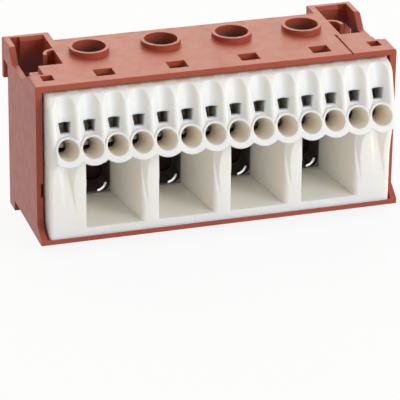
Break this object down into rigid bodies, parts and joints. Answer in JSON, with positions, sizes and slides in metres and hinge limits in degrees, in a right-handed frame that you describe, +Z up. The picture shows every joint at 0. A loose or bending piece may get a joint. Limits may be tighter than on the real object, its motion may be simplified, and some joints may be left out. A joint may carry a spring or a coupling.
{
  "type": "power distribution block",
  "caption": "Terminal block with a red-brown housing, white wire front, spring clamp entries, large screw clamp ports and rail hooks at both ends.",
  "frame": {"origin": "middle of the outline, level with the tips of the two rear feet", "axes": "+X along the row of terminals, +Z up, the wire side faces -Y"},
  "size_m": [0.075, 0.0362, 0.0361],
  "materials": {
    "housing_plastic": "matt moulded red-brown plastic",
    "insert_plastic": "matt moulded white plastic",
    "busbar_brass": "rolled strip",
    "spring_steel": "bright spring strip",
    "cage_steel": "dark plated strip",
    "screw_steel": "zinc plated"
  },
  "bodies": {
    "block": {"housing": "housing_plastic", "front_insert": "insert_plastic", "busbar": "busbar_brass", "wire_spring_01": "spring_steel", "wire_spring_02": "spring_steel", "wire_spring_03": "spring_steel", "wire_spring_04": "spring_steel", "wire_spring_05": "spring_steel", "wire_spring_06": "spring_steel", "wire_spring_07": "spring_steel", "wire_spring_08": "spring_steel", "wire_spring_09": "spring_steel", "wire_spring_10": "spring_steel", "wire_spring_11": "spring_steel", "wire_spring_12": "spring_steel", "wire_spring_13": "spring_steel", "wire_spring_14": "spring_steel"},
    "cage_1": {"clamp_cage_1": "cage_steel"},
    "screw_1": {"clamp_screw_1": "screw_steel"},
    "cage_2": {"clamp_cage_2": "cage_steel"},
    "screw_2": {"clamp_screw_2": "screw_steel"},
    "cage_3": {"clamp_cage_3": "cage_steel"},
    "screw_3": {"clamp_screw_3": "screw_steel"},
    "cage_4": {"clamp_cage_4": "cage_steel"},
    "screw_4": {"clamp_screw_4": "screw_steel"}
  },
  "joints": [
    {"name": "screw_turn_1", "type": "hinge", "parent": "block", "child": "screw_1", "pos_m": [-0.0225, 0.0056, 0.0277], "axis": [0, 0, -1], "range_deg": [0, 3422]},
    {"name": "cage_lift_1", "type": "slide", "parent": "block", "child": "cage_1", "axis": [0, 0, 1], "range_m": [0, 0.0076]},
    {"name": "screw_turn_2", "type": "hinge", "parent": "block", "child": "screw_2", "pos_m": [-0.0075, 0.0056, 0.0277], "axis": [0, 0, -1], "range_deg": [0, 3422]},
    {"name": "cage_lift_2", "type": "slide", "parent": "block", "child": "cage_2", "axis": [0, 0, 1], "range_m": [0, 0.0076]},
    {"name": "screw_turn_3", "type": "hinge", "parent": "block", "child": "screw_3", "pos_m": [0.0075, 0.0056, 0.0277], "axis": [0, 0, -1], "range_deg": [0, 3422]},
    {"name": "cage_lift_3", "type": "slide", "parent": "block", "child": "cage_3", "axis": [0, 0, 1], "range_m": [0, 0.0076]},
    {"name": "screw_turn_4", "type": "hinge", "parent": "block", "child": "screw_4", "pos_m": [0.0225, 0.0056, 0.0277], "axis": [0, 0, -1], "range_deg": [0, 3422]},
    {"name": "cage_lift_4", "type": "slide", "parent": "block", "child": "cage_4", "axis": [0, 0, 1], "range_m": [0, 0.0076]}
  ],
  "couplings": [
    {"joint": "screw_turn_1", "follows": "cage_lift_1", "rad_per_m": 7854},
    {"joint": "screw_turn_2", "follows": "cage_lift_2", "rad_per_m": 7854},
    {"joint": "screw_turn_3", "follows": "cage_lift_3", "rad_per_m": 7854},
    {"joint": "screw_turn_4", "follows": "cage_lift_4", "rad_per_m": 7854}
  ]
}
